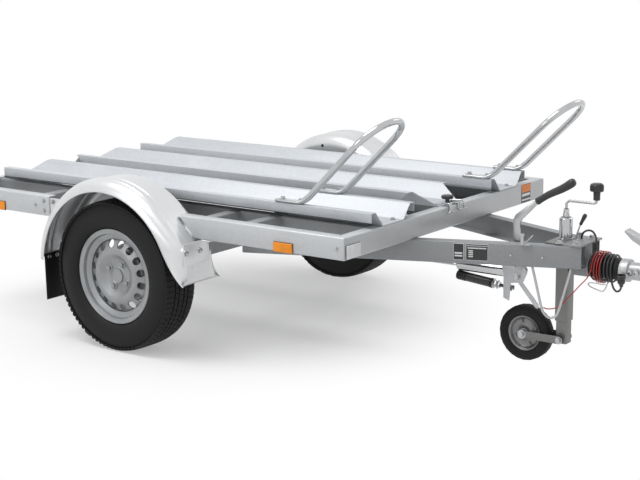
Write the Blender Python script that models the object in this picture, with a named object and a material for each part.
"""Two-wheeled motorcycle trailer: a galvanised channel frame with two wheel rails,
a removable loading ramp, an overrun hitch and an automatic jockey wheel.
Metres, +Z up, +X towards the hitch, the wheels' axle at x = 0 before centring."""
import math

import bmesh
import bpy
from mathutils import Matrix, Vector

# clearances
gap = 0.0003
pin_play = 0.0005

# ladder frame of folded steel channel
frame_width = 1.400
frame_top = 0.545
channel_height = 0.080
channel_flange = 0.040
sheet = 0.003
bend = 0.005
front_face = 1.026
rear_face = 0.962
wheel_bay = 0.200
side_cut_gap = 0.013
side_cut_slope = 0.96
side_rear_end = 0.402
outrigger_front = 0.600
outrigger_middle = 0.410
outrigger_rear = 0.450

# drawbar
arm_front = 1.588
arm_rear = 0.420
arm_spread = 0.375
arm_half_front = 0.072

# wheel rails and loading ramp
rail_offset = 0.405
rail_rear_set = 0.032
rail_rear_cut = 0.085
trough_height = 0.055
trough_floor = 0.130
trough_mouth = 0.215
ridge_width = 0.026
lip_height = 0.034
rail_sheet = 0.0025
ramp_front_set = 0.021
ramp_rear_set = 0.027
ramp_nose = 0.095
ramp_lip_back = 0.038
clamp_sheet = 0.0035
clamp_length = 0.062
clamp_width = 0.080
clamp_drop = 0.020

# wheel hoops
hoop_tube = 0.0125
hoop_foot = 0.125
hoop_flat = 0.012
hoop_height = 0.290
hoop_reach = 0.300
hoop_spread = 0.240
near_hoop_back = 0.455
far_hoop_back = 0.165

# road wheels
wheel_stand_out = 0.005
tyre_radius = 0.2890
tyre_width = 0.156
bead_radius = 0.166
rim_radius = 0.1825
rim_width = 0.127
rim_wall = 0.0035
disc_offset = 0.030
vent_count = 16
wheel_steps = 32
vent_radius = 0.0125
vent_circle = 0.124
well_depth = 0.022
hub_radius = 0.030
hub_length = 0.010
stub_radius = 0.018
drum_radius = 0.108
drum_depth = 0.056
drum_gap = 0.0025
back_plate = 0.003
axle_ahead = 0.150
axle_drop = 0.360
axle_side = 0.060
arm_thick = 0.022
arm_inset = 0.118
bracket_thick = 0.006

# wings
wing_radius = 0.372
wing_width = 0.205
wing_overhang = 0.1125
wing_sheet = 0.0018
wing_skirt = 0.042
wing_plate_x = 0.386
wing_plate_low = 0.312
wing_rear_low = 0.322
wing_rear_angle = 8.0
wing_leave_angle = 48.0
wing_edge_angle = 28.0
wing_knee = 0.025
flap_thick = 0.004
flap_width = 0.121
flap_low = 0.150
flap_inset = 0.042
wing_bracket_low = 0.382
stay_thick = 0.003
stay_overlap = 0.050

# overrun hitch
hitch_height = 0.387
hitch_plate = 0.006
plate_half = 0.085
neck_radius = 0.025
coupling_length = 0.233
ball_radius = 0.025
housing_reach = 0.009
bellows_length = 0.115
bellows_radius = 0.043
folds = 5

# cables wound on the bellows
cable_radius = 0.0036
winding_start = 0.014
winding_length = 0.074
winding_slack = 0.002
breakaway_radius = 0.002
breakaway_start = 0.010
breakaway_length = 0.034

# automatic jockey wheel
mast_set = 0.098
mast_outer = 0.050
mast_inner = 0.042
mast_low = 0.172
mast_top = 0.550
jockey_radius = 0.104
jockey_width = 0.056
jockey_back = 0.150
fork_half = 0.014
fork_sheet = 0.005
pivot_radius = 0.008
bow_radius = 0.005

# tail lamps
lamp_depth = 0.048

# parking brake
brake_plane = 0.100
lever_thick = 0.006
brake_thick = 0.005
pivot_set = 0.228
pivot_z = 0.336
grip_radius = 0.0155
grip_tilt = 30.5
lever_tip_ahead = 0.067
lever_tip_z = 0.6145
lever_end = 0.018
strut_radius = 0.017
strut_drop = 0.041
brake_rod_z = 0.340

# places that follow from the sizes above
rail_rear = rear_face - rail_rear_set - rail_rear_cut
inner_beam_offset = frame_width / 2 - wheel_bay
track = frame_width + wheel_stand_out
wing_outer = track / 2 + wing_overhang
bellows_start = arm_front + housing_reach
bellows_end = bellows_start + bellows_length
coupling_front = bellows_end + coupling_length
mast_x = arm_front - mast_set
pivot_x = arm_front - pivot_set
shift_x = (rear_face + gap + lamp_depth - coupling_front) / 2.0
side_front_start = math.sqrt(wing_radius ** 2 - (frame_top - tyre_radius) ** 2) + side_cut_gap
wing_rear_x = wing_radius * math.cos(math.radians(wing_rear_angle))


def material(name, colour, roughness, metallic):
    mat = bpy.data.materials.new(name)
    mat.use_nodes = True
    shader = mat.node_tree.nodes["Principled BSDF"]
    shader.inputs["Base Color"].default_value = (*colour, 1.0)
    shader.inputs["Roughness"].default_value = roughness
    shader.inputs["Metallic"].default_value = metallic
    return mat


def steel(name):
    return material(name, (0.62, 0.65, 0.68), 0.38, 0.85)


def black(name):
    return material(name, (0.02, 0.02, 0.022), 0.55, 0.0)


def rubber(name):
    return material(name, (0.016, 0.016, 0.017), 0.85, 0.0)


def clean_scene():
    for obj in list(bpy.data.objects):
        bpy.data.objects.remove(obj, do_unlink=True)


def add_object(name, bm, mat, origin=(0.0, 0.0, 0.0), smooth=False, sharp=35.0):
    """Adds the mesh as an object with its origin at a point of the trailer."""
    place = Vector(origin)
    bmesh.ops.translate(bm, verts=bm.verts, vec=-place)
    bmesh.ops.remove_doubles(bm, verts=bm.verts, dist=1e-6)
    bmesh.ops.recalc_face_normals(bm, faces=bm.faces)
    if bm.calc_volume(signed=True) < 0:
        bmesh.ops.reverse_faces(bm, faces=bm.faces)
    mesh = bpy.data.meshes.new(name)
    bm.to_mesh(mesh)
    bm.free()
    if smooth:
        mesh.shade_smooth()
        mesh.set_sharp_from_angle(angle=math.radians(sharp))
    obj = bpy.data.objects.new(name, mesh)
    obj.location = place + Vector((shift_x, 0.0, 0.0))
    mesh.materials.append(mat)
    bpy.context.scene.collection.objects.link(obj)
    return obj


def boolean(obj, bm, operation, smooth=False):
    """Cuts or joins a helper solid, which stays hidden as a wire."""
    name = obj.name + "_" + operation.lower() + str(len(obj.modifiers))
    helper = add_object(name, bm, obj.data.materials[0])
    helper.hide_render = True
    helper.display_type = "WIRE"
    mod = obj.modifiers.new(name, "BOOLEAN")
    mod.operation = operation
    mod.solver = "EXACT"
    mod.object = helper
    return obj


def loft(bm, rings, closed=True, caps=True):
    """Skins a row of equally long vertex rings."""
    rows = [[bm.verts.new(p) for p in ring] for ring in rings]
    count = len(rows[0])
    last = count if closed else count - 1
    for a, b in zip(rows, rows[1:]):
        for i in range(last):
            j = (i + 1) % count
            bm.faces.new((a[i], a[j], b[j], b[i]))
    if caps:
        bm.faces.new(rows[0][::-1])
        bm.faces.new(rows[-1])
    return rows


def box(bm, low, high):
    corners = [(x, y, z) for x in (low[0], high[0]) for y in (low[1], high[1]) for z in (low[2], high[2])]
    v = [bm.verts.new(c) for c in corners]
    for f in ((0, 1, 3, 2), (4, 6, 7, 5), (0, 4, 5, 1), (2, 3, 7, 6), (0, 2, 6, 4), (1, 5, 7, 3)):
        bm.faces.new([v[i] for i in f])
    return bm


def prism(bm, outline, axis, start, end):
    """Extrudes a flat outline along x, y or z."""
    def put(a, b, t):
        if axis == "x":
            return (t, a, b)
        if axis == "y":
            return (a, t, b)
        return (a, b, t)
    loft(bm, [[put(a, b, start) for a, b in outline], [put(a, b, end) for a, b in outline]])
    return bm


def frame_axes(direction):
    d = Vector(direction).normalized()
    side = Vector((0, 0, 1)).cross(d)
    if side.length < 1e-6:
        side = Vector((1, 0, 0))
    side.normalize()
    return d, side, d.cross(side)


def rod(bm, a, b, radius, steps=16, radius_end=None):
    """A round bar between two points."""
    a, b = Vector(a), Vector(b)
    _, u, v = frame_axes(b - a)
    rings = []
    for p, r in ((a, radius), (b, radius if radius_end is None else radius_end)):
        rings.append([p + u * r * math.cos(t) + v * r * math.sin(t)
                      for t in (2 * math.pi * i / steps for i in range(steps))])
    loft(bm, rings)
    return bm


def turned(bm, profile, centre, direction, steps=32, closed=False):
    """Spins (along, radius) points about an axis through a centre."""
    d, u, v = frame_axes(direction)
    c = Vector(centre)
    ring = []
    for t, r in profile:
        if r < 1e-7:
            ring.append([bm.verts.new(c + d * t)])
        else:
            ring.append([bm.verts.new(c + d * t + (u * math.cos(a) + v * math.sin(a)) * r)
                         for a in (2 * math.pi * i / steps for i in range(steps))])
    pairs = list(zip(ring, ring[1:]))
    if closed:
        pairs.append((ring[-1], ring[0]))
    for a, b in pairs:
        if len(a) == 1 and len(b) == 1:
            continue
        for i in range(steps):
            j = (i + 1) % steps
            if len(a) == 1:
                bm.faces.new((a[0], b[i], b[j]))
            elif len(b) == 1:
                bm.faces.new((a[i], a[j], b[0]))
            else:
                bm.faces.new((a[i], a[j], b[j], b[i]))
    return bm


def arc(cx, cy, radius, start, end, steps):
    return [(cx + radius * math.cos(math.radians(start + (end - start) * i / steps)),
             cy + radius * math.sin(math.radians(start + (end - start) * i / steps)))
            for i in range(steps + 1)]


def channel_profile(height, flange, wall, radius, steps=3):
    """(depth, drop) points of a folded C with its web at depth 0 and its top at drop 0."""
    outer = [(flange, 0.0)]
    outer += [(a, b) for a, b in arc(radius, radius, radius, 270, 180, steps)]
    outer += [(a, b) for a, b in arc(radius, height - radius, radius, 180, 90, steps)]
    outer += [(flange, height)]
    inner_r = radius - wall
    inner = [(flange, height - wall)]
    inner += [(a, b) for a, b in arc(radius, height - radius, inner_r, 90, 180, steps)]
    inner += [(a, b) for a, b in arc(radius, radius, inner_r, 180, 270, steps)]
    inner += [(flange, wall)]
    return outer + inner


def channel(name, start, end, inward, top, height, flange, cut_start=(0.0, 0.0), cut_end=(0.0, 0.0),
            wall=sheet):
    """A folded C channel between two plan points. Each cut is how far the end runs
    back per metre of depth and per metre of drop."""
    a, b = Vector((*start, 0.0)), Vector((*end, 0.0))
    along = (b - a).normalized()
    length = (b - a).length
    side = Vector((*inward, 0.0)).normalized()
    bm = bmesh.new()
    rings = []
    for base, sign, cut in ((0.0, 1.0, cut_start), (length, -1.0, cut_end)):
        ring = []
        for depth, drop in channel_profile(height, flange, wall, bend):
            s = base + sign * (cut[0] * depth + cut[1] * drop)
            ring.append(a + along * s + side * depth + Vector((0, 0, top - drop)))
        rings.append(ring)
    loft(bm, rings)
    return add_object(name, bm, steel(name))


def sides():
    return (("right", -1.0), ("left", 1.0))


def ladder_frame():
    half = frame_width / 2.0
    nest = gap * math.sqrt(2.0)
    channel("crossbar_front", (front_face, -half), (front_face, half), (-1, 0), frame_top,
            channel_height, channel_flange, (1.0, 0.0), (1.0, 0.0))
    rear_cut = (1.0, 0.0)
    channel("crossbar_rear", (-rear_face, -half), (-rear_face, half), (1, 0), frame_top,
            channel_height, channel_flange, rear_cut, rear_cut)
    for name, s in sides():
        channel("side_rail_front_" + name, (side_front_start, s * half), (front_face - nest, s * half),
                (0, -s), frame_top, channel_height, channel_flange, (0.0, side_cut_slope), (1.0, 0.0))
        channel("side_rail_rear_" + name, (-rear_face + nest, s * half), (-side_rear_end, s * half), (0, -s),
                frame_top, channel_height, channel_flange, (1.0, 0.0), (0.0, 0.0))


def inner_frame():
    """Each inner beam nests between the crossbars' flanges and carries three outriggers."""
    half = frame_width / 2.0
    height = channel_height - 2 * (sheet + gap)
    top = frame_top - sheet - gap
    for name, s in sides():
        beam = channel("inner_beam_" + name, (-rear_face + bend + gap, s * inner_beam_offset),
                       (front_face - bend - gap, s * inner_beam_offset), (0, -s), top, height, channel_flange)
        for x in (outrigger_front, outrigger_middle, -outrigger_rear):
            bm = bmesh.new()
            profile = channel_profile(height, channel_flange, sheet, bend)
            rings = []
            for y in (inner_beam_offset - sheet / 2, half - sheet - stay_thick - 2 * gap):
                rings.append([(x - depth, s * y, top - drop) for depth, drop in profile])
            loft(bm, rings)
            boolean(beam, bm, "UNION")


def drawbar():
    tip_y = arm_half_front
    slope = arm_spread
    for name, s in sides():
        front = (arm_front, s * tip_y)
        rear = (arm_rear, s * (tip_y + slope * (arm_front - arm_rear)))
        along = Vector((front[0] - rear[0], front[1] - rear[1], 0)).normalized()
        inward = Vector((-along.y, along.x, 0))
        if inward.y * s > 0:
            inward = -inward
        tilt = abs(along.y / along.x)
        channel("drawbar_arm_" + name, rear, front, (inward.x, inward.y), frame_top - channel_height - gap,
                channel_height, channel_flange, (tilt, 0.0), (-tilt, 0.0))


def trough_profile(lip):
    """(across, up) points of a wheel rail: floor, sloping walls, ridges and outer lips."""
    t = rail_sheet
    f, m, h = trough_floor / 2, trough_mouth / 2, trough_height
    o = m + ridge_width
    inset = t * (math.hypot(m - f, h) - (m - f)) / h
    right = [(f - inset, t), (m - inset, h), (o, h), (o, h - lip), (o - t, h - lip), (o - t, h - t),
             (m, h - t), (f, 0.0)]
    left = [(-a, b) for a, b in reversed(right)]
    return right + left


def wheel_rail(name, centre_y):
    z = frame_top + gap
    bm = bmesh.new()
    rear = []
    front = []
    for across, up in trough_profile(lip_height):
        back = rail_rear_cut * (1.0 - up / trough_height)
        below_lip = up < trough_height - lip_height - 1e-6
        keep = back if below_lip or abs(across) < trough_mouth / 2 - 1e-6 else 0.0
        rear.append((-rail_rear - keep, centre_y + across, z + up))
        front.append((front_face, centre_y + across, z + up))
    loft(bm, [rear, front])
    return add_object(name, bm, steel(name))


def loading_ramp():
    z = frame_top + gap
    bm = bmesh.new()
    ends = []
    for end, s in ((ramp_rear_set - rear_face, -1.0), (front_face - ramp_front_set, 1.0)):
        ring = []
        for across, up in trough_profile(lip_height):
            back = ramp_nose * up / trough_height
            if abs(across) >= trough_mouth / 2 - 1e-6:
                back = ramp_nose + ramp_lip_back * (trough_height - up) / lip_height
            ring.append((end - s * back, across, z + up))
        ends.append(ring)
    loft(bm, ends)
    return add_object("loading_ramp", bm, steel("loading_ramp"), origin=(front_face - ramp_front_set, 0, z))


def hoop_path(back, y_mid):
    """Centre line of a hoop from one flattened foot to the other."""
    base = frame_top + gap + trough_height + gap + hoop_flat / 2
    half = hoop_spread / 2
    front = front_face - back
    pts = [Vector((front - hoop_foot, -half, base)), Vector((front - 0.030, -half, base))]
    rise = Vector((hoop_reach, 0, hoop_height))
    up = rise.normalized()
    foot = Vector((front, -half, base))
    for i in range(1, 6):
        t = i / 6.0
        p = (1 - t) ** 2 * pts[1] + 2 * t * (1 - t) * foot + t * t * (foot + up * 0.035)
        pts.append(p)
    crown_r = half
    length = rise.length - crown_r
    for k in range(1, 3):
        pts.append(foot + up * (0.035 + (length - 0.035) * k / 2))
    centre = Vector((front, 0, base)) + up * length
    for i in range(1, 12):
        a = math.pi - math.pi * i / 12
        pts.append(centre + Vector((0, math.cos(a) * crown_r, 0)) + up * math.sin(a) * crown_r)
    mirrored = [Vector((p.x, -p.y, p.z)) for p in reversed(pts[:9])]
    return [p + Vector((0, y_mid, 0)) for p in pts + mirrored]


def hoop(name, back, y_mid, steps=12):
    pts = hoop_path(back, y_mid)
    count = len(pts)
    bm = bmesh.new()
    rings = []
    for i, p in enumerate(pts):
        tangent = (pts[min(i + 1, count - 1)] - pts[max(i - 1, 0)]).normalized()
        end = min(i, count - 1 - i)
        flat = 1.0 if end <= 1 else max(0.0, 1.0 - (end - 1) / 4.0)
        across = Vector((0, 1, 0))
        if end > 8:
            normal = Vector((hoop_reach, 0, hoop_height)).cross(Vector((0, 1, 0))).normalized()
            across = tangent.cross(normal).normalized()
        normal = tangent.cross(across).normalized()
        if end > 8:
            normal = -normal if normal.z < 0 else normal
        wide = hoop_tube * (1.0 + 0.42 * flat)
        thin = hoop_tube + (hoop_flat / 2 - hoop_tube) * flat
        p = p + Vector((0, 0, thin - hoop_flat / 2))
        ring = []
        for k in range(steps):
            a = 2 * math.pi * k / steps
            c, s = math.cos(a), math.sin(a)
            if flat > 0.5:
                power = 0.6
                c, s = math.copysign(abs(c) ** power, c), math.copysign(abs(s) ** power, s)
            ring.append(p + across * wide * c + normal * thin * s)
        rings.append(ring)
    for a, b in zip(rings, rings[1:]):
        best = min(range(steps), key=lambda k: (b[k] - a[0]).length)
        flip = (b[(best + 1) % steps] - a[1]).length > (b[(best - 1) % steps] - a[1]).length
        order = [b[(best + (-k if flip else k)) % steps] for k in range(steps)]
        b[:] = order
    loft(bm, rings)
    return add_object(name, bm, steel(name), smooth=True, sharp=40)


def ramp_clamp():
    """Claw plate over the ramp's nose and the crossbar's edge, under a star knob."""
    z = frame_top + gap + rail_sheet + gap
    t = clamp_sheet
    tip = front_face + gap
    back = front_face - clamp_length
    drop = frame_top - clamp_drop
    bm = bmesh.new()
    outline = [(back, z), (tip, z), (tip, drop), (tip + 0.018, drop), (tip + 0.018, drop + t),
               (tip + t, drop + t), (tip + t, z + t), (back, z + t)]
    prism(bm, outline, "y", -clamp_width / 2, clamp_width / 2)
    obj = add_object("ramp_clamp", bm, steel("ramp_clamp"), origin=(back, 0, z))
    bm = bmesh.new()
    box(bm, (front_face - 0.008, -clamp_width / 4, drop - 0.01), (tip + 0.03, clamp_width / 4, z + 0.02))
    boolean(obj, bm, "DIFFERENCE")
    top = z + t + gap
    x = front_face - 0.030
    bm = bmesh.new()
    turned(bm, [(0.0, 0.0), (0.0, 0.011), (0.006, 0.011), (0.007, 0.0085), (0.014, 0.010), (0.017, 0.0225),
                (0.024, 0.0235), (0.028, 0.017), (0.029, 0.0)], (x, 0, top), (0, 0, 1), 18)
    add_object("ramp_clamp_knob", bm, black("ramp_clamp_knob"), origin=(x, 0, top), smooth=True)


def tyre(name, centre, radius, width, seat, bead, steps, flange=None):
    """A tyre with a rounded sidewall, open towards its rim and seated inside its flanges."""
    half = width / 2
    tread = half * 0.76
    wall = min(0.011, half * 0.3)
    low = flange + 0.0015 if flange else bead
    mid = low + (radius - low) * 0.46
    foot = [(seat, bead)]
    if flange:
        foot += [(seat, flange - 0.003), (seat + 0.006, low)]
    outer = foot + [(half * 0.93, low + (mid - low) * 0.45), (half, mid),
                    (half * 0.95, mid + (radius - mid) * 0.55), (tread, radius - width * 0.064),
                    (tread * 0.86, radius - width * 0.019)]
    inner_half = half - wall
    inner = [(tread * 0.8, radius - wall * 1.4), (inner_half, mid), (seat - wall, low), (seat - wall, bead)]
    right = outer + [(0.0, radius)]
    profile = right + [(-a, b) for a, b in reversed(outer)]
    profile += [(-a, b) for a, b in reversed(inner)] + inner
    bm = bmesh.new()
    turned(bm, profile, centre, (0, 1, 0), steps, closed=True)
    return add_object(name, bm, rubber(name), origin=centre, smooth=True, sharp=40)


def rim(name, centre, out):
    """A pressed steel wheel, its disc with a ring of vents, and its hub in one piece."""
    w = rim_width / 2
    r, t = rim_radius, rim_wall
    bead = bead_radius - gap
    well = bead - well_depth
    d = disc_offset
    cap = d + 0.006 + hub_length
    outline = [(cap, 0.0), (cap - 0.002, hub_radius * 0.85), (cap - 0.008, hub_radius),
               (d + 0.006, hub_radius), (d + 0.006, 0.066), (d + 0.022, 0.086), (d + 0.022, 0.106),
               (d + 0.002, well - t), (0.038, well - t), (0.0455, bead - t - 0.001), (w - 0.006, bead - t),
               (w, r - 0.003), (w - 0.003, r), (w - 0.0085, r - 0.004), (w - 0.0085, bead),
               (0.044, bead - 0.001), (0.036, well), (0.010, well), (0.0, bead - 0.001),
               (-w + 0.0085, bead), (-w + 0.0085, r - 0.004),
               (-w + 0.003, r), (-w, r - 0.003), (-w + 0.006, bead - t), (-0.002, bead - t - 0.001),
               (0.007, well - t), (d - 0.004, well - t), (d + 0.0176, 0.106), (d + 0.0176, 0.086),
               (d + 0.0016, 0.066), (d + 0.0016, 0.055), (d - 0.006, 0.055), (d - 0.006, drum_radius - 0.006),
               (d - 0.012, drum_radius), (d - drum_depth, drum_radius), (d - drum_depth, 0.0)]
    bm = bmesh.new()
    turned(bm, [(out * a, b) for a, b in outline], centre, (0, 1, 0), wheel_steps)
    obj = add_object(name, bm, steel(name), origin=centre, smooth=True, sharp=30)
    bm = bmesh.new()
    for i in range(vent_count):
        a = 2 * math.pi * (i + 0.5) / vent_count
        c = Vector(centre) + Vector((math.cos(a), 0, math.sin(a))) * vent_circle
        rod(bm, c + Vector((0, out * (d - 0.020), 0)), c + Vector((0, out * (d + 0.040), 0)), vent_radius, 7)
    boolean(obj, bm, "DIFFERENCE")
    return obj


def road_wheels():
    for name, s in sides():
        centre = (0.0, s * track / 2, tyre_radius)
        seat = rim_width / 2 - 0.0095 - gap
        tyre("tyre_" + name, centre, tyre_radius, tyre_width, seat, bead_radius, wheel_steps, rim_radius)
        rim("wheel_rim_" + name, centre, s)


def axle():
    """Torsion axle: square tube, trailing arms, stub axles and brackets up to the inner beams."""
    half = axle_side / 2
    arm_y = track / 2 - arm_inset
    bm = bmesh.new()
    box(bm, (axle_ahead - half, -arm_y, axle_drop - half), (axle_ahead + half, arm_y, axle_drop + half))
    obj = add_object("axle", bm, steel("axle"), origin=(0, 0, tyre_radius))
    hub_face = track / 2 + disc_offset - drum_depth - pin_play
    for _, s in sides():
        bm = bmesh.new()
        dx, dz = axle_ahead, axle_drop - tyre_radius
        angle = math.degrees(math.atan2(dz, dx))
        outline = arc(axle_ahead, axle_drop, 0.036, angle - 90, angle + 90, 8)
        outline += arc(0.0, tyre_radius, 0.030, angle + 90, angle + 270, 8)
        a, b = sorted((s * (arm_y - 0.002), s * (arm_y + arm_thick)))
        prism(bm, outline, "y", a, b)
        boolean(obj, bm, "UNION")
        bm = bmesh.new()
        inside = s * (arm_y + arm_thick / 2)
        rod(bm, (0, inside, tyre_radius), (0, s * hub_face, tyre_radius), stub_radius, 20)
        boolean(obj, bm, "UNION")
        bm = bmesh.new()
        plate = s * (hub_face - drum_gap)
        inside = plate - s * back_plate
        rod(bm, (0, inside, tyre_radius), (0, plate, tyre_radius), drum_radius + 0.004, 28)
        boolean(obj, bm, "UNION")
        bm = bmesh.new()
        y0 = inner_beam_offset - channel_flange
        top = frame_top - sheet - gap - (channel_height - 2 * (sheet + gap)) - gap
        a, b = sorted((s * y0, s * (y0 + 0.034)))
        box(bm, (axle_ahead - 0.055, a + 0.010, axle_drop + half - 0.004),
            (axle_ahead + 0.055, a + 0.010 + bracket_thick, top - bracket_thick + 0.001))
        boolean(obj, bm, "UNION")
        bm = bmesh.new()
        box(bm, (axle_ahead - 0.075, a, top - bracket_thick), (axle_ahead + 0.075, b, top))
        boolean(obj, bm, "UNION")


def wing_path():
    """Side view of the wing from its rear edge over the wheel to the flat front plate:
    pairs of a point on its crown and one on the lower edge of its outer skirt."""
    r = wing_radius
    cz = tyre_radius
    start = 180.0 - wing_rear_angle
    inner = r - wing_skirt
    spin = [math.radians(start - i * (start - wing_leave_angle) / 13) for i in range(14)]
    pairs = [((-wing_rear_x, wing_rear_low), (-wing_rear_x + wing_skirt, wing_rear_low))]
    for a in spin:
        c, s = math.cos(a), math.sin(a)
        pairs.append(((r * c, cz + r * s), (inner * c, cz + inner * s)))
    last = Vector(pairs[-1][0])
    ang = spin[-1]
    knee = Vector((wing_plate_x, last.y - (wing_plate_x - last.x) * math.cos(ang) / math.sin(ang)))
    stop = knee - Vector((0, wing_knee))
    end = Vector((wing_plate_x + 0.010, wing_plate_low))
    low = math.radians(wing_edge_angle)
    edge_start = Vector((inner * math.cos(low), cz + inner * math.sin(low)))
    edge_knee = edge_start + Vector((math.sin(low), -math.cos(low))) * (edge_start.y - end.y) * 0.9
    steps = 4
    for i in range(1, steps + 1):
        t = i / steps
        p = (1 - t) ** 2 * last + 2 * t * (1 - t) * knee + t * t * stop
        a = ang + (low - ang) * t
        pairs.append(((p.x, p.y), (inner * math.cos(a), cz + inner * math.sin(a))))
    steps = 4
    for i in range(1, steps + 1):
        t = i / steps
        p = (1 - t) ** 2 * edge_start + 2 * t * (1 - t) * edge_knee + t * t * end
        pairs.append(((wing_plate_x, stop.y + (wing_plate_low - stop.y) * t), (p.x, p.y)))
    return pairs


def wings():
    pairs = wing_path()
    n = len(pairs)
    columns = [(0.0, -1.0), (0.04, -0.50), (0.11, -0.16), (0.19, 0.0), (0.50, 0.0), (0.60, 0.0),
               (0.635, 0.005), (0.67, 0.0), (0.74, 0.0), (0.775, 0.005), (0.81, 0.0), (0.89, -0.16),
               (0.96, -0.50), (1.0, -1.0)]
    for name, s in sides():
        bm = bmesh.new()
        grid = []
        for i, (crown, edge) in enumerate(pairs):
            a, b = Vector(pairs[max(i - 1, 0)][0]), Vector(pairs[min(i + 1, n - 1)][0])
            tangent = (b - a).normalized()
            normal = Vector((-tangent.y, tangent.x))
            crown, edge = Vector(crown), Vector(edge)
            if normal.dot(crown - Vector((0, tyre_radius))) < 0:
                normal = -normal
            bead = 1.0 if 0 < i < n - 7 else 0.0
            row = []
            for across, up in columns:
                y = s * (wing_outer - wing_width * (1.0 - across))
                p = crown + normal * up * bead if up > 0 else crown + (crown - edge) * up
                row.append(bm.verts.new((p.x, y, p.y)))
            grid.append(row)
        for a, b in zip(grid, grid[1:]):
            for i in range(len(columns) - 1):
                bm.faces.new((a[i], a[i + 1], b[i + 1], b[i]))
        solidify(bm, wing_sheet, tyre_radius)
        add_object("wing_" + name, bm, steel("wing_" + name), smooth=True, sharp=40)


def solidify(bm, thickness, height):
    """Gives an open sheet its thickness on the side of the wheel."""
    bm.normal_update()
    axis = Vector((0, 0, height))
    score = sum((f.calc_center_median() - axis).dot(Vector((f.normal.x, 0, f.normal.z))) for f in bm.faces)
    if score < 0:
        bmesh.ops.reverse_faces(bm, faces=bm.faces)
        bm.normal_update()
    outer = list(bm.verts)
    copy = {v: bm.verts.new(v.co - v.normal * thickness) for v in outer}
    for f in list(bm.faces):
        bm.faces.new([copy[v] for v in reversed(f.verts)])
    for e in [e for e in bm.edges if len(e.link_faces) == 1 and e.verts[0] in copy]:
        a, b = e.verts
        bm.faces.new((a, b, copy[b], copy[a]))


def wing_fittings():
    half = frame_width / 2
    for name, s in sides():
        bm = bmesh.new()
        x = wing_plate_x + gap
        top = frame_top - channel_height - gap
        a, b = sorted((s * (half - channel_flange), s * (wing_outer - 0.020)))
        box(bm, (x, a, wing_bracket_low), (x + 0.004, b, top))
        a, b = sorted((s * (half - channel_flange), s * half))
        box(bm, (x + 0.004 - 1e-5, a, top - 0.004), (x + 0.045, b, top))
        join_boxes("wing_bracket_" + name, bm)
        bm = bmesh.new()
        x = -wing_rear_x + wing_sheet + 2.5 * gap
        a, b = sorted((s * (wing_outer - flap_inset), s * (wing_outer - flap_inset - flap_width)))
        box(bm, (x, a, flap_low), (x + flap_thick, b, wing_rear_low + 0.010))
        add_object("mud_flap_" + name, bm, rubber("mud_flap_" + name))
        bm = bmesh.new()
        web = half - sheet - gap
        high, low = frame_top - bend - gap, frame_top - channel_height + bend + gap
        seat = wing_radius + gap
        angles = [180.0 - math.degrees(math.asin((z - tyre_radius) / seat)) for z in (high, low)]
        outline = arc(0.0, tyre_radius, seat, angles[0], angles[1], 4)
        outline += [(-side_rear_end - stay_overlap, low), (-side_rear_end - stay_overlap, high)]
        a, b = sorted((s * web, s * (web - stay_thick)))
        prism(bm, outline, "y", a, b)
        add_object("wing_stay_" + name, bm, steel("wing_stay_" + name))


def join_boxes(name, bm):
    """Splits loose boxes and unites them into one body."""
    islands = []
    left = set(bm.verts)
    while left:
        stack = [left.pop()]
        group = set(stack)
        while stack:
            for e in stack.pop().link_edges:
                for v in e.verts:
                    if v not in group:
                        group.add(v)
                        left.discard(v)
                        stack.append(v)
        islands.append(group)
    parts = []
    for group in islands:
        lo = [min(v.co[i] for v in group) for i in range(3)]
        hi = [max(v.co[i] for v in group) for i in range(3)]
        parts.append((lo, hi))
    bm.free()
    first = bmesh.new()
    box(first, *parts[0])
    obj = add_object(name, first, steel(name))
    for lo, hi in parts[1:]:
        extra = bmesh.new()
        box(extra, lo, hi)
        boolean(obj, extra, "UNION")
    return obj


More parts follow.
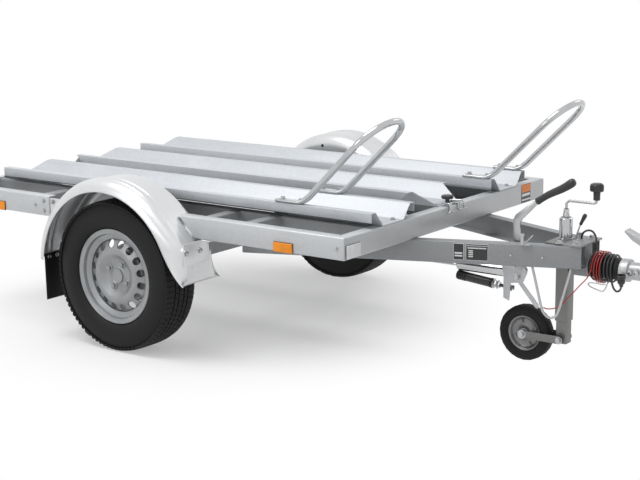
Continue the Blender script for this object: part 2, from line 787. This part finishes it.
def hitch():
    z = hitch_height
    top = frame_top - channel_height - gap
    front = bellows_start
    bm = bmesh.new()
    slim = arm_half_front - channel_flange * math.hypot(1.0, arm_spread) - 0.002
    box(bm, (mast_x + mast_outer / 2 + 0.006, -slim, z - 0.036), (front - 0.004, slim, z + 0.036))
    obj = add_object("overrun_housing", bm, steel("overrun_housing"), origin=(front, 0, z))
    bm = bmesh.new()
    rear = mast_x + mast_outer / 2 + 0.006
    box(bm, (rear, -plate_half, top + gap), (front - 0.006, plate_half, top + gap + hitch_plate))
    boolean(obj, bm, "UNION")
    bm = bmesh.new()
    box(bm, (mast_x + mast_outer / 2 + 0.016, -0.028, z + 0.030), (front - 0.016, 0.028, top + gap + 0.001))
    boolean(obj, bm, "UNION")
    bm = bmesh.new()
    rod(bm, (front - 0.006, 0, z), (front, 0, z), 0.040, 28)
    boolean(obj, bm, "UNION")

    bm = bmesh.new()
    a, b = bellows_start + gap, bellows_end
    profile = [(a, neck_radius + 0.003), (a, bellows_radius * 0.86)]
    pitch = (b - a - 0.012) / folds
    for i in range(folds):
        s = a + 0.006 + pitch * i
        profile += [(s, bellows_radius * 0.84), (s + pitch * 0.5, bellows_radius)]
    profile += [(b - 0.006, bellows_radius * 0.84), (b, bellows_radius * 0.80), (b, neck_radius + 0.003)]
    turned(bm, profile, (0, 0, z), (1, 0, 0), 24, closed=True)
    add_object("bellows", bm, black("bellows"), origin=(a, 0, z), smooth=True, sharp=50)

    bm = bmesh.new()
    n = neck_radius
    tip = coupling_front
    head = [(bellows_start + gap, 0.0), (bellows_start + gap, n), (bellows_end + gap, n),
            (bellows_end + gap, 0.040), (bellows_end + 0.030, 0.040), (bellows_end + 0.034, 0.031),
            (tip - 0.110, 0.031), (tip - 0.100, 0.0)]
    turned(bm, head, (0, 0, z), (1, 0, 0), 24)
    obj = add_object("coupling_head", bm, steel("coupling_head"), origin=(tip, 0, z), smooth=True, sharp=35)
    cup = ball_radius + 0.008
    bx = tip - cup
    bm = bmesh.new()
    rings = []
    for t, wide, low, high in ((0.0, 0.026, -0.024, 0.026), (0.35, 0.028, -0.020, 0.032),
                               (0.75, 0.033, -0.012, 0.036), (1.0, 0.034, -0.010, 0.037)):
        x = tip - 0.125 + t * (bx - tip + 0.125)
        outline = [(-wide, low), (-wide, high - 0.012), (-wide * 0.7, high), (wide * 0.7, high),
                   (wide, high - 0.012), (wide, low)]
        rings.append([(x, y, z + h) for y, h in outline])
    loft(bm, rings)
    boolean(obj, bm, "UNION")
    bm = bmesh.new()
    turned(bm, [(-0.020, 0.0), (-0.020, cup), (0.016, cup), (0.030, cup * 0.80), (0.037, cup * 0.4),
                (0.038, 0.0)], (bx, 0, z), (0, 0, 1), 20)
    boolean(obj, bm, "UNION")
    bm = bmesh.new()
    ball = ball_radius + 0.001
    turned(bm, [(-0.040, 0.0), (-0.040, ball), (0.0, ball), (0.014, ball_radius * 0.82),
                (0.022, ball_radius * 0.45), (0.024, 0.0)], (bx, 0, z), (0, 0, 1), 20)
    boolean(obj, bm, "DIFFERENCE")

    bm = bmesh.new()
    top = z + 0.038
    px = bx - 0.008
    outline = [(px + 0.020, top + gap), (px + 0.024, top + 0.018), (px + 0.006, top + 0.034),
               (px - 0.060, top + 0.056), (px - 0.115, top + 0.080), (px - 0.178, top + 0.108),
               (px - 0.182, top + 0.100),
               (px - 0.150, top + 0.072), (px - 0.110, top + 0.052), (px - 0.050, top + 0.026),
               (px - 0.022, top + 0.016), (px - 0.016, top + gap)]
    prism(bm, outline, "y", -0.019, 0.019)
    add_object("coupling_handle", bm, steel("coupling_handle"), origin=(px, 0, top))


def cord_tube(name, points, radius, mat, resolution=2):
    """A round cord along a smooth curve through hand-chosen points."""
    curve = bpy.data.curves.new(name, "CURVE")
    curve.dimensions = "3D"
    curve.bevel_depth = radius
    curve.bevel_resolution = resolution
    curve.use_fill_caps = True
    smooth = smooth_path(points, 3)
    spline = curve.splines.new("POLY")
    spline.points.add(len(smooth) - 1)
    for point, place in zip(spline.points, smooth):
        point.co = (place[0] + shift_x, place[1], place[2], 1.0)
    spline.use_smooth = True
    curve.materials.append(mat)
    obj = bpy.data.objects.new(name, curve)
    bpy.context.scene.collection.objects.link(obj)
    return obj


def winding(name, start, length, inner, outer, mat):
    """The outer shape of a cord's turns, round the bellows."""
    bm = bmesh.new()
    turned(bm, [(start, inner), (start, outer), (start + length, outer), (start + length, inner)],
           (0, 0, hitch_height), (1, 0, 0), 24, closed=True)
    return add_object(name, bm, mat, origin=(start, 0, hitch_height), smooth=True)


def cables():
    """Lighting cable with its plug and the red breakaway cable, both wound on the bellows."""
    z = hitch_height
    c = cable_radius
    inner = bellows_radius + gap
    outer = inner + 2 * c + winding_slack
    mid = (inner + outer) / 2
    start = bellows_start + winding_start
    end = start + winding_length
    winding("cable_coil", start, winding_length, inner, outer, black("cable_coil"))
    plate = frame_top - channel_height + hitch_plate
    x = start - gap - c
    lead = [(x - 0.070, 0.030, plate + gap), (x - 0.069, 0.030, plate + 0.012),
            (x - 0.060, 0.030, plate + 0.026), (x - 0.044, 0.031, plate + 0.033),
            (x - 0.028, 0.031, plate + 0.030), (x - 0.015, 0.028, plate + 0.016),
            (x - 0.007, 0.021, plate - 0.006), (x - 0.003, 0.012, z + mid + 0.006), (x, 0.000, z + mid)]
    cord_tube("cable_lead", lead, c, black("cable_lead"))
    x = end + gap + c
    tail = [(x, -mid, z), (x + 0.0035, -mid - 0.002, z - 0.019), (x + 0.010, -mid - 0.0055, z - 0.042),
            (x + 0.0185, -mid - 0.008, z - 0.058), (x + 0.030, -mid - 0.009, z - 0.0655),
            (x + 0.0415, -mid - 0.0095, z - 0.0595), (x + 0.0465, -mid - 0.010, z - 0.046)]
    cord_tube("cable_tail", tail, c, black("cable_tail"))
    plug = Vector(tail[-1]) + Vector((0.0, 0.0, gap + 0.0012))
    bm = bmesh.new()
    turned(bm, [(0.0, 0.0), (0.0, 0.007), (0.008, 0.012), (0.028, 0.0125), (0.029, 0.0155), (0.042, 0.0155),
                (0.043, 0.0)], plug, (0.0, -0.08, 1.0), 16)
    add_object("cable_plug", bm, black("cable_plug"), origin=plug, smooth=True)

    red = outer + gap
    r = breakaway_radius
    start += breakaway_start
    winding("breakaway_coil", start, breakaway_length, red, red + 2 * r + winding_slack / 2,
            material("breakaway_coil", (0.5, 0.02, 0.02), 0.5, 0.0))
    near = -(red + r + winding_slack / 4)
    x = mast_x - 0.036 + bow_radius + r + gap
    lead = [(x, -0.1045, 0.238), (x + 0.012, -0.099, 0.233), (x + 0.036, -0.084, 0.236),
            (x + 0.060, -0.069, 0.256), (x + 0.088, -0.063, 0.288), (x + 0.116, -0.060, 0.322),
            (start - 0.016, -0.059, z - 0.034), (start - 0.006, near - 0.001, z - 0.012),
            (start - gap - r, near, z - 0.004)]
    cord_tube("breakaway_lead", lead, r, material("breakaway_lead", (0.5, 0.02, 0.02), 0.5, 0.0))


def stud(obj, start, y_end):
    """Unite a cross stud with a rod's eye, reaching the plate it turns on."""
    bm = bmesh.new()
    rod(bm, start, (start[0], y_end, start[2]), 0.0045, 10)
    boolean(obj, bm, "UNION")


def brake():
    """Parking brake lever on its bracket under the near arm, with the cylinders it pulls."""
    under = frame_top - 2 * channel_height - 2 * gap
    plane = -(brake_plane + brake_thick)
    bm = bmesh.new()
    x = pivot_x
    outline = [(x - 0.066, under), (x - 0.066, under - 0.014), (x - 0.058, under - 0.050),
               (x - 0.058, under - 0.132), (x - 0.036, under - 0.140), (x - 0.030, under - 0.075),
               (x + 0.020, under - 0.066),
               (x + 0.036, under - 0.030), (x + 0.030, under)]
    prism(bm, outline, "y", plane - brake_thick, plane)
    obj = add_object("brake_bracket", bm, steel("brake_bracket"), origin=(x, plane, pivot_z))
    bm = bmesh.new()
    box(bm, (x - 0.066, plane - 0.048, under - 0.005), (x + 0.010, plane - brake_thick + 0.001, under))
    boolean(obj, bm, "UNION")
    bm = bmesh.new()
    bow = mast_x - 0.047
    strap = [(x - 0.008, under - 0.060), (x + 0.012, under - 0.060), (bow, under - 0.138),
             (bow, under - 0.154), (bow - 0.010, under - 0.152)]
    prism(bm, strap, "y", plane - brake_thick + 0.0005, plane - 0.0005)
    boolean(obj, bm, "UNION")

    y0 = plane + gap
    bm = bmesh.new()
    tilt = math.radians(grip_tilt)
    d = Vector((math.cos(tilt), 0, math.sin(tilt)))
    tip = Vector((x + lever_tip_ahead, y0 + lever_thick / 2, lever_tip_z))
    edge = Vector((-d.z, 0, d.x)) * lever_end / 2
    side = [(x + 0.006, pivot_z - 0.016), (x + 0.018, pivot_z), (x + 0.016, 0.400), (x + 0.009, 0.480),
            (x + 0.002, 0.530), (x + 0.010, 0.545), (tip.x - edge.x, tip.z - edge.z),
            (tip.x + edge.x, tip.z + edge.z), (x - 0.016, 0.560), (x - 0.026, 0.540), (x - 0.022, 0.480),
            (x - 0.014, 0.400), (x - 0.016, pivot_z), (x - 0.006, pivot_z - 0.016)]
    prism(bm, side, "y", y0, y0 + lever_thick)
    add_object("handbrake_lever", bm, steel("handbrake_lever"), origin=(x, y0, pivot_z))
    bm = bmesh.new()
    a = tip + d * gap
    turned(bm, [(0.0, 0.0), (0.0, grip_radius * 0.8), (0.006, grip_radius), (0.150, grip_radius),
                (0.164, grip_radius * 0.75), (0.168, 0.0)], a, d, 20)
    add_object("handbrake_grip", bm, black("handbrake_grip"), origin=a, smooth=True)

    cy = y0 + 0.030
    zc = pivot_z + 0.008
    front = x - 0.034
    bm = bmesh.new()
    turned(bm, [(0.0, 0.0), (0.0, 0.016), (0.006, 0.023), (0.222, 0.023), (0.230, 0.016), (0.230, 0.008),
                (0.262, 0.008), (0.262, 0.0)], (front - 0.235, cy, zc), (1, 0, 0), 24)
    obj = add_object("spring_cylinder", bm, steel("spring_cylinder"), origin=(front, cy, zc), smooth=True)
    stud(obj, (x - 0.014, cy, zc), y0 + lever_thick + gap)
    bm = bmesh.new()
    turned(bm, [(0.0, 0.0), (0.0, strut_radius), (0.150, strut_radius), (0.150, 0.006), (0.226, 0.006),
                (0.226, 0.0)], (front - 0.235, cy, zc - strut_drop), Vector((0.985, 0, -0.09)), 14)
    obj = add_object("gas_strut", bm, black("gas_strut"), origin=(front, cy, zc - 0.034), smooth=True)
    stud(obj, (x - 0.046, cy, zc - strut_drop - 0.0205), y0)
    bm = bmesh.new()
    rear = axle_ahead + axle_side / 2 + gap
    rod(bm, (rear, cy, brake_rod_z), (front - 0.235 - gap, cy, brake_rod_z), 0.005, 12)
    add_object("brake_rod", bm, steel("brake_rod"), origin=(rear, cy, brake_rod_z), smooth=True)


def square_ring(bm, x, y, side, low, high, radius=0.004):
    r = radius
    h = side / 2
    outline = []
    for cx, cy, a in ((h - r, h - r, 0), (-h + r, h - r, 90), (-h + r, -h + r, 180), (h - r, -h + r, 270)):
        outline += arc(cx, cy, r, a, a + 90, 2)
    prism(bm, [(x + a, y + b) for a, b in outline], "z", low, high)
    return bm


def jockey():
    x = mast_x
    plate_top = frame_top - channel_height - gap
    bm = bmesh.new()
    square_ring(bm, x, 0, mast_outer, mast_low, plate_top + 0.003)
    obj = add_object("jockey_mast", bm, steel("jockey_mast"), origin=(x, 0, mast_low))
    bm = bmesh.new()
    turned(bm, [(plate_top, 0.0), (plate_top, 0.0235), (mast_top - 0.006, 0.0235), (mast_top, 0.018),
                (mast_top + 0.002, 0.0085), (mast_top + 0.030, 0.0085), (mast_top + 0.030, 0.0)],
           (x, 0, 0), (0, 0, 1), 20)
    boolean(obj, bm, "UNION")
    bm = bmesh.new()
    front = x + mast_outer / 2 + 0.005
    box(bm, (x - 0.038, -plate_half, plate_top + gap), (front, plate_half, plate_top + gap + hitch_plate))
    boolean(obj, bm, "UNION")
    bm = bmesh.new()
    square_ring(bm, x, 0, mast_inner + 2 * pin_play, mast_low - 0.01, mast_low + 0.270, 0.003)
    boolean(obj, bm, "DIFFERENCE")

    low = jockey_radius - fork_half - 0.002
    bm = bmesh.new()
    square_ring(bm, x, 0, mast_inner, low, mast_low + 0.115, 0.003)
    obj = add_object("jockey_tube", bm, steel("jockey_tube"), origin=(x, 0, mast_low))
    bm = bmesh.new()
    rod(bm, (x, -mast_inner, jockey_radius), (x, mast_inner, jockey_radius), pivot_radius + pin_play, 12)
    boolean(obj, bm, "DIFFERENCE")

    wheel_x = x - jockey_back
    inner = jockey_width / 2 + 0.006
    outer = inner + fork_sheet
    bm = bmesh.new()
    rod(bm, (x, -outer - 0.004, jockey_radius), (x, outer + 0.004, jockey_radius), pivot_radius, 12)
    obj = add_object("jockey_fork", bm, steel("jockey_fork"), origin=(x, 0, jockey_radius))
    for s in (-1.0, 1.0):
        bm = bmesh.new()
        a, b = sorted((s * inner, s * outer))
        outline = arc(x, jockey_radius, fork_half, -90, 90, 6)
        outline += arc(wheel_x, jockey_radius, fork_half, 90, 270, 6)
        prism(bm, outline, "y", a, b)
        boolean(obj, bm, "UNION")
    bm = bmesh.new()
    box(bm, (x - mast_inner / 2 - 0.023, -outer + 0.001, jockey_radius - fork_half),
        (x - mast_inner / 2 - 0.006, outer - 0.001, jockey_radius - fork_half + fork_sheet))
    boolean(obj, bm, "UNION")
    bm = bmesh.new()
    rod(bm, (wheel_x, -outer - 0.004, jockey_radius), (wheel_x, outer + 0.004, jockey_radius), 0.007, 12)
    boolean(obj, bm, "UNION")

    c = (wheel_x, 0.0, jockey_radius)
    tyre("jockey_tyre", c, jockey_radius, jockey_width, jockey_width * 0.36, 0.066, 24)
    bm = bmesh.new()
    w = jockey_width * 0.36
    hub = jockey_width / 2 - 0.001
    bead = 0.066 - gap
    profile = [(-w, bead), (w, bead), (w, bead - 0.006), (0.006, bead - 0.014), (0.006, 0.024), (hub, 0.020),
               (hub, 0.007 + pin_play), (-hub, 0.007 + pin_play), (-hub, 0.020), (-0.006, 0.024),
               (-0.006, bead - 0.014), (-w, bead - 0.006)]
    turned(bm, profile, c, (0, 1, 0), 24, closed=True)
    add_object("jockey_rim", bm, steel("jockey_rim"), origin=c, smooth=True, sharp=30)

    crank_z = 0.609
    bm = bmesh.new()
    path = [(x, 0, mast_top + 0.030 + gap), (x, 0, crank_z - 0.010), (x + 0.010, 0, crank_z),
            (x + 0.106, 0, crank_z),
            (x + 0.114, 0, crank_z + 0.003), (x + 0.116, 0, crank_z + 0.008), (x + 0.116, 0, crank_z + 0.012)]
    sweep(bm, [Vector(p) for p in path], 0.0045, 10)
    add_object("jockey_crank", bm, steel("jockey_crank"), origin=(x, 0, mast_top), smooth=True)
    bm = bmesh.new()
    base = crank_z + 0.012 + gap
    turned(bm, [(0.0, 0.0), (0.0, 0.012), (0.030, 0.012), (0.034, 0.024), (0.052, 0.025), (0.058, 0.019),
                (0.060, 0.0)], (x + 0.116, 0, base), (0, 0, 1), 20)
    add_object("jockey_crank_knob", bm, black("jockey_crank_knob"), origin=(x + 0.116, 0, base), smooth=True)


def sweep(bm, pts, radius, steps, side=(0, 1, 0)):
    """A round bar along a bent path in an upright plane across the side vector."""
    side = Vector(side)
    rings = []
    n = len(pts)
    for i, p in enumerate(pts):
        d = (pts[min(i + 1, n - 1)] - pts[max(i - 1, 0)]).normalized()
        up = d.cross(side).normalized()
        scale = 1.0
        if 0 < i < n - 1:
            a, b = (pts[i] - pts[i - 1]).normalized(), (pts[i + 1] - pts[i]).normalized()
            scale = 1.0 / max(0.6, math.sqrt((1 + a.dot(b)) / 2))
        rings.append([p + side * radius * math.cos(t) + up * radius * scale * math.sin(t)
                      for t in (2 * math.pi * k / steps for k in range(steps))])
    loft(bm, rings)
    return bm


def arm_outer(x):
    """Half spread of the drawbar's outer faces at a station."""
    return arm_half_front + arm_spread * (arm_front - x)


def jockey_bow():
    """Bent rod below the near arm that trips the automatic jockey wheel."""
    top = frame_top - 2 * channel_height - 2 * gap - bow_radius * 0.26
    x = mast_x
    base = [(x - 0.069, top), (x - 0.051, 0.303), (x - 0.036, 0.234), (x - 0.024, 0.211), (x - 0.010, 0.200),
            (x + 0.005, 0.203), (x + 0.018, 0.219), (x + 0.040, 0.306), (x + 0.058, top)]
    pts = [Vector((a, 0.018 - arm_outer(a), b)) for a, b in smooth_path(base, 2)]
    along = Vector((1.0, arm_spread, 0.0)).normalized()
    bm = bmesh.new()
    sweep(bm, pts, bow_radius, 8, along.cross(Vector((0, 0, 1))))
    add_object("jockey_bow", bm, steel("jockey_bow"), origin=(x, pts[0].y, 0.3), smooth=True)


def smooth_path(points, steps):
    """Catmull-Rom curve through flat points."""
    out = []
    n = len(points)
    for i in range(n - 1):
        p0, p1, p2, p3 = (Vector(points[max(i - 1, 0)]), Vector(points[i]), Vector(points[i + 1]),
                          Vector(points[min(i + 2, n - 1)]))
        for k in range(steps):
            t = k / steps
            out.append(0.5 * ((2 * p1) + (p2 - p0) * t + (2 * p0 - 5 * p1 + 4 * p2 - p3) * t * t
                              + (3 * p1 - p0 - 3 * p2 + p3) * t ** 3))
    out.append(Vector(points[-1]))
    return [tuple(p) for p in out]


def tail_lamps():
    for name, s in sides():
        y = s * (frame_width / 2 - 0.130)
        z = frame_top - channel_height / 2
        bm = bmesh.new()
        low = (-rear_face - gap - lamp_depth, y - 0.105, z - 0.036)
        box(bm, low, (-rear_face - gap, y + 0.105, z + 0.036))
        bmesh.ops.bevel(bm, geom=bm.edges[:], offset=0.008, segments=2, affect="EDGES")
        red = material("tail_lamp_" + name, (0.5, 0.02, 0.02), 0.25, 0.0)
        add_object("tail_lamp_" + name, bm, red, smooth=True)


def main():
    clean_scene()
    ladder_frame()
    inner_frame()
    drawbar()
    for name, s in sides():
        wheel_rail("wheel_rail_" + name, s * rail_offset)
    loading_ramp()
    hoop("wheel_hoop_right", near_hoop_back - 0.160, -rail_offset)
    hoop("wheel_hoop_left", far_hoop_back - 0.160, rail_offset)
    ramp_clamp()
    road_wheels()
    axle()
    wings()
    wing_fittings()
    hitch()
    brake()
    jockey()
    jockey_bow()
    cables()
    tail_lamps()


main()
